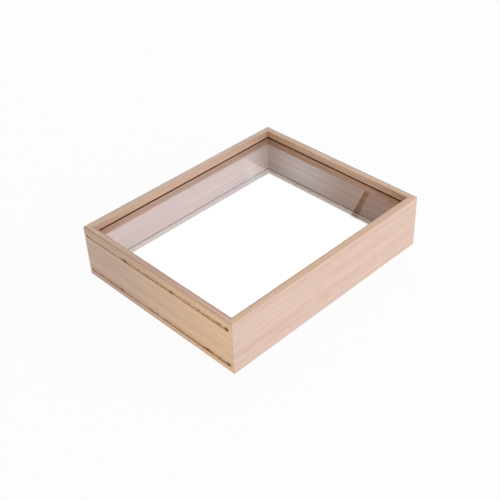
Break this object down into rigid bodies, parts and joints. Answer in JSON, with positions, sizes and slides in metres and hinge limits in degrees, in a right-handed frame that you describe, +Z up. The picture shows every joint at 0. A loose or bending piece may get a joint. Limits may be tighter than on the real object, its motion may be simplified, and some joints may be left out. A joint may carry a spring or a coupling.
{
  "type": "dried flower display box",
  "caption": "Shallow wooden display box with mitred corners and clear panes above and below that slide in through slots in one end board.",
  "frame": {"origin": "under the middle of the box, in the plane that it rests on", "axes": "+X along the length, away from the slotted end board; +Y across the width, towards the back board; +Z up through the panes"},
  "size_m": [0.265, 0.215, 0.06],
  "materials": {
    "wood": "fine straight grain, sanded, satin and unstained",
    "pane_glass": "clear flat sheet, polished",
    "nail_steel": "bright rolled strip"
  },
  "bodies": {
    "frame": {"front_board": "wood", "back_board": "wood", "closed_end_board": "wood", "slotted_end_board": "wood", "corner_v_nails": "nail_steel"},
    "upper_pane": {"top_pane": "pane_glass"},
    "lower_pane": {"bottom_pane": "pane_glass"}
  },
  "joints": [
    {"name": "top_pane_slide", "type": "slide", "parent": "frame", "child": "upper_pane", "axis": [-1, 0, 0], "range_m": [0, 0.262]},
    {"name": "bottom_pane_slide", "type": "slide", "parent": "frame", "child": "lower_pane", "axis": [-1, 0, 0], "range_m": [0, 0.262]}
  ]
}
